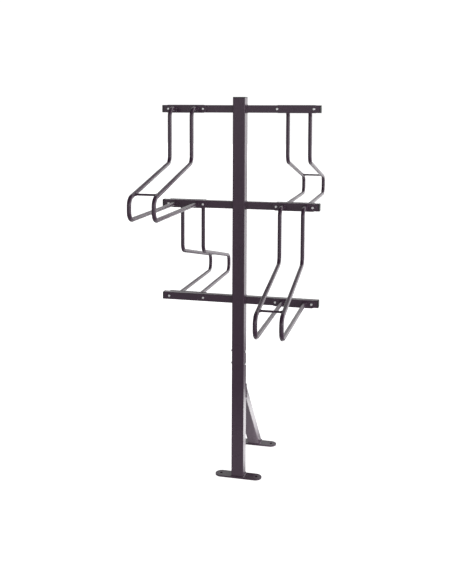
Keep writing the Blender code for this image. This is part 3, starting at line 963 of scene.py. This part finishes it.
def build_bar(bar):
    """One crossbar with its bolt holes, its two caps and the welds at the post."""
    node = bar + "_bar"
    size = size_of(node)
    middle = centre_of(node)
    drills = []
    lines = {0: both_sides(0, HOLE_CLEAR), 2: []}
    for side_name in SIDES:
        for place_name in PLACES:
            hole = centre_of(f"{node}_{side_name}_{place_name}_bolt")
            drill = cross_drill(BOLT_HOLE, 2 * size.y, "X")
            move(drill, (hole.x, middle.y, middle.z))
            drills.append(drill)
            lines[2] += both_sides(hole.x, HOLE_CLEAR)
    tube = box_tube(size.z, size.y, size.x, BAR_CORNER, BAR_WALL, lines)
    turn(tube, math.pi / 2, "Y")
    move(tube, middle)
    add_piece(node + "_tube", cut_out(tube, drills), BAR_PAINT, node, True)
    bore = size.y - 2 * BAR_WALL
    for side_name, side in SIDES.items():
        label = f"{node}_{side_name}"
        cap = end_cap(size.y, size_of(label + "_cap").x - CAP_PLUG_DEPTH, bore - 2 * GAP, BAR_CORNER)
        turn(cap, side * math.pi / 2, "Y")
        move(cap, (side * (size.x / 2 + GAP), middle.y, middle.z))
        add_piece(label + "_end_cap", cap, CAP_PLASTIC, label + "_cap", True)
        bead = weld_bead(size.z / 2, size.y / 2, BAR_CORNER, FRAME_BEAD, middle.z * 9 + side)
        turn(bead, side * math.pi / 2, "Y")
        move(bead, (side * size_of("upper_post").x / 2, middle.y, middle.z))
        add_weld(label + "_weld", bead)


def build_bar_fasteners(bar):
    """The screws and locking nuts at both ends of a bar, with the nuts' nylon rings."""
    for side_name in SIDES:
        for place_name in PLACES:
            label = f"{bar}_bar_{side_name}_{place_name}"
            low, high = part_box(label + "_bolt")
            middle = (low + high) / 2
            screw = button_screw(high.y - low.y - HEAD_HEIGHT)
            head_seat = low.y + HEAD_HEIGHT
            nut_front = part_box(label + "_nut")[0].y
            for part, bm, start, material, slot, node in (
                    ("screw", screw, head_seat, ZINC, "zinc_fasteners", label + "_bolt"),
                    ("locking_nut", locking_nut(), nut_front, ZINC, "zinc_fasteners", label + "_nut"),
                    ("nut_insert", nylon_ring(), nut_front, INSERT_NYLON, "black_plastic", None)):
                turn(bm, -math.pi / 2, "X")
                move(bm, (middle.x, start, middle.z))
                add_piece(f"{label}_{part}", bm, material, node)


def place_holder(name, layout):
    """How far a holder's tubes start from its lower bar, and the matrix that puts it on that bar."""
    bar = centre_of(layout["below"] + "_bar")
    low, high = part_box(name + "_top_plate")
    if layout["forward"]:
        plate_face = bar.y - low.y
    else:
        plate_face = high.y - bar.y
    heading = Matrix.Rotation(math.pi if layout["forward"] else 0, 4, "Z")
    return plate_face, Matrix.Translation((centre_of(name + "_top_plate").x, bar.y, bar.z)) @ heading


def tube_corners(start, rise):
    """The corners of a holder's tube, from its upper end round the nose to its lower end."""
    return [
        Vector((0, start, rise)),
        Vector((0, TUBE_STAND_OFF, rise)),
        Vector((0, TUBE_STAND_OFF, TRAY_START_HEIGHT)),
        Vector((0, NOSE_REACH, NOSE_HEIGHT)),
        Vector((0, NOSE_REACH, 0)),
        Vector((0, start, 0)),
    ]


def build_rod(name, here, half_length):
    """The rod across a holder, just short of its nose."""
    rod = round_bar(ROD_RADIUS, 2 * half_length, ROD_SIDES)
    rod.normal_update()
    ease(rod, end_rims(rod), RIM_EASE)
    turn(rod, math.pi / 2, "Y")
    place(rod, here @ Matrix.Translation((0, ROD_REACH, ROD_HEIGHT)))
    add_piece(name + "_rod", rod, TUBE_PAINT, name + "_cross_rod")


def build_holder(name, layout):
    """One wheel holder: two bent tubes, the rod between them, two plates and their welds."""
    plate_face, here = place_holder(name, layout)
    ends = {"top": centre_of(layout["above"] + "_bar").z - centre_of(layout["below"] + "_bar").z,
            "bottom": 0}
    corners = tube_corners(plate_face + GAP, ends["top"])
    rod_half = size_of(name + "_cross_rod").x / 2
    turned = -1 if layout["forward"] else 1
    for place_name, seed in zip(PLACES, (1, -1)):
        node = f"{name}_{place_name}_tube"
        x = (centre_of(node).x - here.translation.x) * turned
        tube = bent_tube(corners, TUBE_RADIUS, TUBE_BORE_RADIUS, BEND_RADIUS)
        place(tube, here @ Matrix.Translation((x, 0, 0)))
        add_piece(node + "_bent", tube, TUBE_PAINT, node)
        for end, height in ends.items():
            bead = weld_bead(TUBE_RADIUS, TUBE_RADIUS, TUBE_RADIUS, TUBE_BEAD, x * 90 + height * 40)
            turn(bead, -math.pi / 2, "X")
            place(bead, here @ Matrix.Translation((x, plate_face, height)))
            add_weld(f"{name}_{place_name}_{end}_weld", bead)
        bead = weld_bead(ROD_RADIUS, ROD_RADIUS, ROD_RADIUS, ROD_BEAD, seed)
        turn(bead, -math.copysign(math.pi / 2, x), "Y")
        reach = math.copysign(rod_half + ROD_BEAD / 3, x)
        place(bead, here @ Matrix.Translation((reach, ROD_REACH, ROD_HEIGHT)))
        add_weld(f"{name}_{place_name}_rod_weld", bead)
    build_rod(name, here, rod_half)
    for end, height in ends.items():
        node = f"{name}_{end}_plate"
        size = size_of(node)
        plate = drilled_plate(size.x, size.z, size.y, BOLT_SPACING, BOLT_HOLE)
        turn(plate, -math.pi / 2, "X")
        place(plate, here @ Matrix.Translation((0, plate_face - size.y, height)))
        add_piece(node + "_eased", plate, PLATE_PAINT, node)


def build_stand():
    build_upper_post()
    build_lower_post()
    build_post_ends()
    build_splice_screws()
    build_feet()
    build_strut()
    for bar in BARS:
        build_bar(bar)
        build_bar_fasteners(bar)
    for name, layout in HOLDERS.items():
        build_holder(name, layout)
    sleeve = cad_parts["splice_sleeve"]
    sleeve.data.materials.clear()
    sleeve.data.materials.append(FRAME_PAINT)


# The studio: soft panels round a dim room, each given by where it is and how far it spreads
ROOM_DIM = 0.12
BACKDROP = 1.05
LOW_PANEL = (0.22, 0.50)
HIGH_PANEL = (0.60, 0.85)
PANELS = {
    "back_wall": {"towards": (0.17, 0.985, 0), "edge": (0.50, 0.85), "high": False, "strength": 0.74},
    "back_right_panel": {"towards": (0.75, 0.66, 0), "edge": (0.75, 0.92), "high": False, "strength": 1.60},
    "right_panel": {"towards": (1, 0, 0), "edge": (0.50, 0.85), "high": False, "strength": 2.40},
    "front_right_panel": {"towards": (0.7, -0.7, 0), "edge": (0.75, 0.92), "high": False, "strength": 0.40},
    "front_panel": {"towards": (-0.1, -0.995, 0), "edge": (0.50, 0.85), "high": False, "strength": 0.80},
    "back_upper_panel": {"towards": (0.17, 0.985, 0), "edge": (0.40, 0.70), "high": True, "strength": 0.70},
    "right_upper_panel": {"towards": (1, 0, 0), "edge": (0.40, 0.70), "high": True, "strength": 0.60},
}

# How white the floor shows, its painted shadow under the feet's holes, and its painted pools of light that
# the paint mirrors
FLOOR_WHITE = 0.95
HOLE_SHADE = (0.012, 0.020)
PAINTED_LIGHT_POOLS = {
    "beside_the_strut": {"centre": (0.30, 0.22, 0), "edge": (0.22, 0.32), "strength": 1.3},
    "behind_the_strut": {"centre": (0.42, 0.62, 0), "edge": (0.30, 0.42), "strength": 1.7},
    "around_the_stand": {"centre": (0.05, 0.15, 0), "edge": (0.60, 1.10), "strength": 0.40},
    "foot_of_the_wall": {"centre": (4.0, 31.0, 0), "edge": (29.0, 29.5), "strength": 0.75},
    "right_of_the_stand": {"centre": (31.0, 0.0, 0), "edge": (28.6, 29.4), "strength": 0.70},
    "in_front_of_the_stand": {"centre": (0.0, -31.0, 0), "edge": (28.0, 29.4), "strength": 0.15},
}


def measure(tree, operation, vector, other):
    node = tree.nodes.new("ShaderNodeVectorMath")
    node.operation = operation
    tree.links.new(vector, node.inputs[0])
    node.inputs[1].default_value = other
    return node.outputs["Value"]


def build_floor():
    """A plain white floor: its own white to the eye, painted pools of light to the paint, painted shadow
    under the feet's holes.
    """
    bm = bmesh.new()
    bmesh.ops.create_grid(bm, x_segments=8, y_segments=8, size=30)
    floor = new_object("studio_floor", bm)
    material, tree, shader, coordinates = new_material("pale_floor")
    tone = remap(tree, noise(tree, coordinates, scale=3.0, detail=3.0), *SLOW_TONE)
    colour = blend_colour(tree, tone, (0.78, 0.78, 0.785, 1), (0.80, 0.80, 0.80, 1))
    tree.links.new(colour, shader.inputs["Base Color"])
    shader.inputs["Roughness"].default_value = 0.8
    shader.inputs["Emission Color"].default_value = (1, 1, 1, 1)
    # Painted light: the floor glows in these pools for every ray but the eye's
    lit = 0.0
    for pool in PAINTED_LIGHT_POOLS.values():
        distance = measure(tree, "DISTANCE", coordinates, pool["centre"])
        glow = remap(tree, distance, *pool["edge"], pool["strength"], 0.0)
        lit = calculate(tree, "ADD", glow, lit)
    seen = tree.nodes.new("ShaderNodeLightPath").outputs["Is Camera Ray"]
    white = remap(tree, seen, 0.0, 1.0, lit, FLOOR_WHITE)
    # Painted shadow: the floor's white and its glow fade to dark under each foot hole
    for node in ("front_foot_plate", "rear_foot_plate"):
        for side in SIDES.values():
            hole = (side * FOOT_HOLE_SPACING / 2, centre_of(node).y, 0)
            shade = remap(tree, measure(tree, "DISTANCE", coordinates, hole), *HOLE_SHADE)
            white = product(tree, white, shade)
    tree.links.new(white, shader.inputs["Emission Strength"])
    floor.data.materials.append(material)


def build_room():
    """The room's light from all around, and the plain white seen behind the stand."""
    world = bpy.data.worlds.new("studio_room")
    world.use_nodes = True
    bpy.context.scene.world = world
    tree = world.node_tree
    room = tree.nodes["Background"]
    direction = tree.nodes.new("ShaderNodeTexCoord").outputs["Generated"]
    split = tree.nodes.new("ShaderNodeSeparateXYZ")
    tree.links.new(direction, split.inputs[0])
    below = remap(tree, split.outputs["Z"], *LOW_PANEL, 1.0, 0.0)
    above = remap(tree, split.outputs["Z"], *LOW_PANEL)
    above = product(tree, above, remap(tree, split.outputs["Z"], *HIGH_PANEL, 1.0, 0.0))
    light = ROOM_DIM
    for panel in PANELS.values():
        facing = measure(tree, "DOT_PRODUCT", direction, Vector(panel["towards"]).normalized())
        glow = remap(tree, facing, *panel["edge"], 0.0, panel["strength"])
        glow = product(tree, glow, above if panel["high"] else below)
        light = calculate(tree, "ADD", glow, light)
    tree.links.new(light, room.inputs["Strength"])
    backdrop = tree.nodes.new("ShaderNodeBackground")
    backdrop.inputs["Strength"].default_value = BACKDROP
    seen = tree.nodes.new("ShaderNodeLightPath")
    choose = tree.nodes.new("ShaderNodeMixShader")
    tree.links.new(seen.outputs["Is Camera Ray"], choose.inputs["Fac"])
    tree.links.new(room.outputs[0], choose.inputs[1])
    tree.links.new(backdrop.outputs[0], choose.inputs[2])
    tree.links.new(choose.outputs[0], tree.nodes["World Output"].inputs["Surface"])
    for node in (room, backdrop):
        node.inputs["Color"].default_value = (1, 1, 1, 1)


# The photograph's view: turned to the left, a little down, with the frame shifted down
CAMERA_AT = (0.7135, -3.145, 1.516)
CAMERA_YAW = math.radians(13.775)
CAMERA_PITCH = math.radians(4.766)
CAMERA_ROLL = math.radians(0.202)
CAMERA_LENS = 49.777
CAMERA_SHIFT = -0.20


def build_camera():
    lens = bpy.data.cameras.new("camera")
    lens.sensor_width = 36
    lens.lens = CAMERA_LENS
    lens.shift_y = CAMERA_SHIFT
    camera = bpy.data.objects.new("camera", lens)
    look = (Matrix.Rotation(CAMERA_YAW, 4, "Z") @ Matrix.Rotation(math.pi / 2 - CAMERA_PITCH, 4, "X")
            @ Matrix.Rotation(CAMERA_ROLL, 4, "Z"))
    camera.matrix_world = Matrix.Translation(CAMERA_AT) @ look
    bpy.context.scene.collection.objects.link(camera)
    bpy.context.scene.camera = camera


build_stand()
build_floor()
build_room()
build_camera()
bpy.context.scene.view_settings.view_transform = "Standard"
